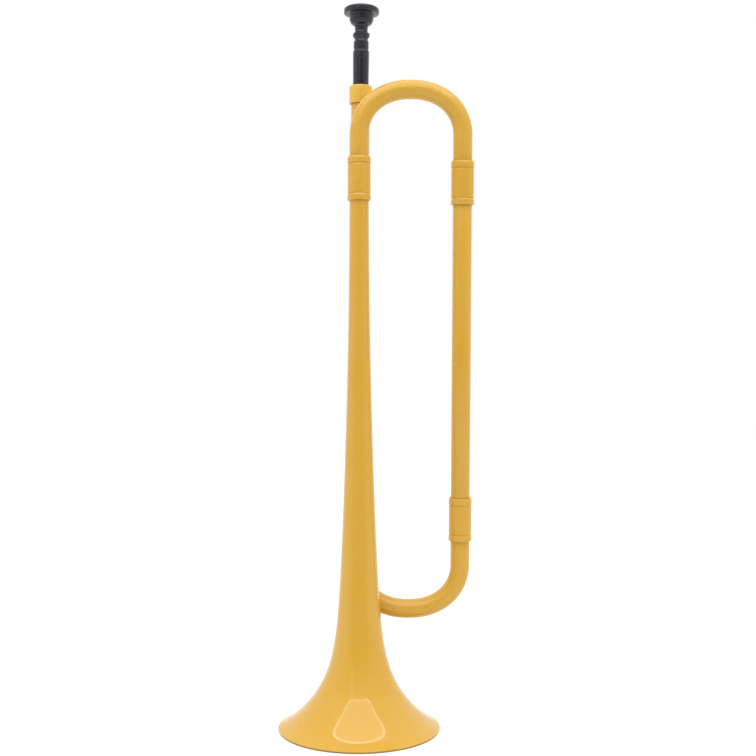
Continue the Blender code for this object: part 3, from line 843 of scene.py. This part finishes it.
def makeWorld():
    world = bpy.data.worlds.new("whiteTent")
    world.use_nodes = True
    tree = world.node_tree
    tree.nodes.clear()
    sky = addNode(tree, "ShaderNodeTexCoord").outputs["Generated"]
    way = addNode(tree, "ShaderNodeSeparateXYZ", {"Vector": sky})
    rise = ramp(tree, way.outputs["Z"], 0.25, 0.85, studio["tentSide"], studio["tentTop"], "SMOOTHSTEP")

    # the tent is darker towards the front, less so higher up
    above = calc(tree, "MULTIPLY", calc(tree, "MAXIMUM", way.outputs["Z"], 0.0), 0.6)
    towards = calc(tree, "SUBTRACT", calc(tree, "MULTIPLY", way.outputs["Y"], -1.0), above)
    dim = ramp(tree, towards, 0.30, 0.92, 0.0, 1.0, "SMOOTHSTEP")
    strength = addNode(
        tree, "ShaderNodeMix", {"Factor": dim, "A": rise, "B": studio["tentFront"]}, data_type="FLOAT")
    white = (1.0, 1.0, 1.0, 1.0)
    tent = addNode(tree, "ShaderNodeBackground", {"Color": white, "Strength": strength.outputs[0]})
    clean = addNode(tree, "ShaderNodeBackground", {"Color": white, "Strength": 1.0})
    seen = addNode(tree, "ShaderNodeLightPath").outputs["Is Camera Ray"]
    mixed = addNode(tree, "ShaderNodeMixShader", {0: seen, 1: tent.outputs[0], 2: clean.outputs[0]})
    end = tree.nodes.new("ShaderNodeOutputWorld")
    tree.links.new(mixed.outputs[0], end.inputs["Surface"])
    spreadNodes(tree)
    bpy.context.scene.world = world


def makeFloor():
    left, right, front, back = studio["floorEdges"]
    mesh = bpy.data.meshes.new("studioFloor")
    corners = [(left, front, 0), (right, front, 0), (right, back, 0), (left, back, 0)]
    mesh.from_pydata(corners, [], [(0, 1, 2, 3)])
    material = bpy.data.materials.new("paleFloor")
    material.use_nodes = True
    shader = material.node_tree.nodes["Principled BSDF"]
    shader.inputs["Base Color"].default_value = studio["floorShade"]
    shader.inputs["Roughness"].default_value = 0.9
    shader.inputs["Specular IOR Level"].default_value = 0.0
    shader.inputs["Emission Color"].default_value = (1.0, 1.0, 1.0, 1.0)
    shader.inputs["Emission Strength"].default_value = studio["floorGlow"]
    mesh.materials.append(material)
    floor = linkPiece("studioFloor", mesh)
    floor.location.z = -studio["floorDrop"]


def glowMaterial(name, power):
    material = bpy.data.materials.new(name)
    material.use_nodes = True
    tree = material.node_tree
    tree.nodes.clear()
    facing = addNode(tree, "ShaderNodeNewGeometry").outputs["Backfacing"]
    lit = calc(tree, "MULTIPLY", calc(tree, "SUBTRACT", 1.0, facing), power)
    glow = addNode(tree, "ShaderNodeEmission", {"Strength": lit})
    end = tree.nodes.new("ShaderNodeOutputMaterial")
    tree.links.new(glow.outputs[0], end.inputs["Surface"])
    spreadNodes(tree)
    return material


def roundedSheet(halfX, halfY, rounding, steps=10):
    points = []
    for quarter, (sideX, sideY) in enumerate(((1, 1), (-1, 1), (-1, -1), (1, -1))):
        for i in range(steps + 1):
            turn = (quarter + i / steps) * math.pi / 2
            x = sideX * (halfX - rounding) + rounding * math.cos(turn)
            y = sideY * (halfY - rounding) + rounding * math.sin(turn)
            points.append((x, y, 0.0))
    return points


def placeLight(name, mesh, middle, turn):
    light = linkPiece(name, mesh)
    light.location = middle
    light.rotation_euler = turn
    light.visible_camera = False


def hangForward(point):
    # slides a point of the level sheet along its line to the bell's foot, onto the leaning sheet
    foot = Vector(studio["ceilingAimedFrom"])
    back, front = Vector(studio["ceilingBack"]), Vector(studio["ceilingFront"])
    up = Vector((1.0, 0.0, 0.0)).cross(back - front)
    ray = Vector(point) - foot
    return foot + ray * ((back - foot).dot(up) / ray.dot(up))


def makeCeilingLight():
    # a soft leaning sheet with a brighter frame round it, facing down and back
    halfX, halfY = studio["ceilingHalf"]
    edge = studio["ceilingFrame"]
    middle = Vector(studio["ceilingMiddle"])
    outer = roundedSheet(halfX, halfY, studio["ceilingRound"])
    inner = roundedSheet(halfX - edge, halfY - edge, studio["ceilingRound"] - edge)
    count = len(outer)
    faces = [tuple(reversed(range(count, 2 * count)))]
    faces += [(i, count + i, count + (i + 1) % count, (i + 1) % count) for i in range(count)]
    mesh = bpy.data.meshes.new("ceilingLight")
    mesh.from_pydata([hangForward(middle + Vector(p)) for p in outer + inner], [], faces)
    mesh.materials.append(glowMaterial("ceilingGlow", studio["ceilingPower"]))
    mesh.materials.append(glowMaterial("ceilingFrameGlow", studio["ceilingFramePower"]))
    for face in mesh.polygons:
        face.material_index = 0 if face.index == 0 else 1
    placeLight("ceilingLight", mesh, (0.0, 0.0, 0.0), (0.0, 0.0, 0.0))


def makeStripLight():
    # a tall thin lamp on the left that draws the fine upright highlight
    halfX, halfY = studio["stripHalf"]
    mesh = bpy.data.meshes.new("stripLight")
    corners = [(-halfX, -halfY, 0), (halfX, -halfY, 0), (halfX, halfY, 0), (-halfX, halfY, 0)]
    mesh.from_pydata(corners, [], [(0, 1, 2, 3)])
    mesh.materials.append(glowMaterial("stripGlow", studio["stripPower"]))
    middle = Vector(studio["stripMiddle"])
    aim = (Vector((0.0, 0.0, middle.z)) - middle).to_track_quat("Z", "Y").to_euler()
    placeLight("stripLight", mesh, middle, aim)


cameraSettings = {"place": (0.0009, -0.870, 0.2685), "lens": 55.24, "shiftY": -0.0113}


def makeCamera():
    camera = bpy.data.cameras.new("frontCamera")
    camera.sensor_width = 36.0
    camera.lens = cameraSettings["lens"]
    camera.shift_y = cameraSettings["shiftY"]
    camera.clip_start = 0.01
    camera.clip_end = 50.0
    holder = linkPiece("frontCamera", camera)
    holder.location = cameraSettings["place"]
    holder.rotation_euler = (math.radians(90.0), 0.0, 0.0)
    bpy.context.scene.camera = holder


print("studio")
makeWorld()
makeFloor()
makeCeilingLight()
makeStripLight()
makeCamera()
bpy.context.scene.view_settings.view_transform = "Standard"
bpy.context.scene.view_settings.look = "None"
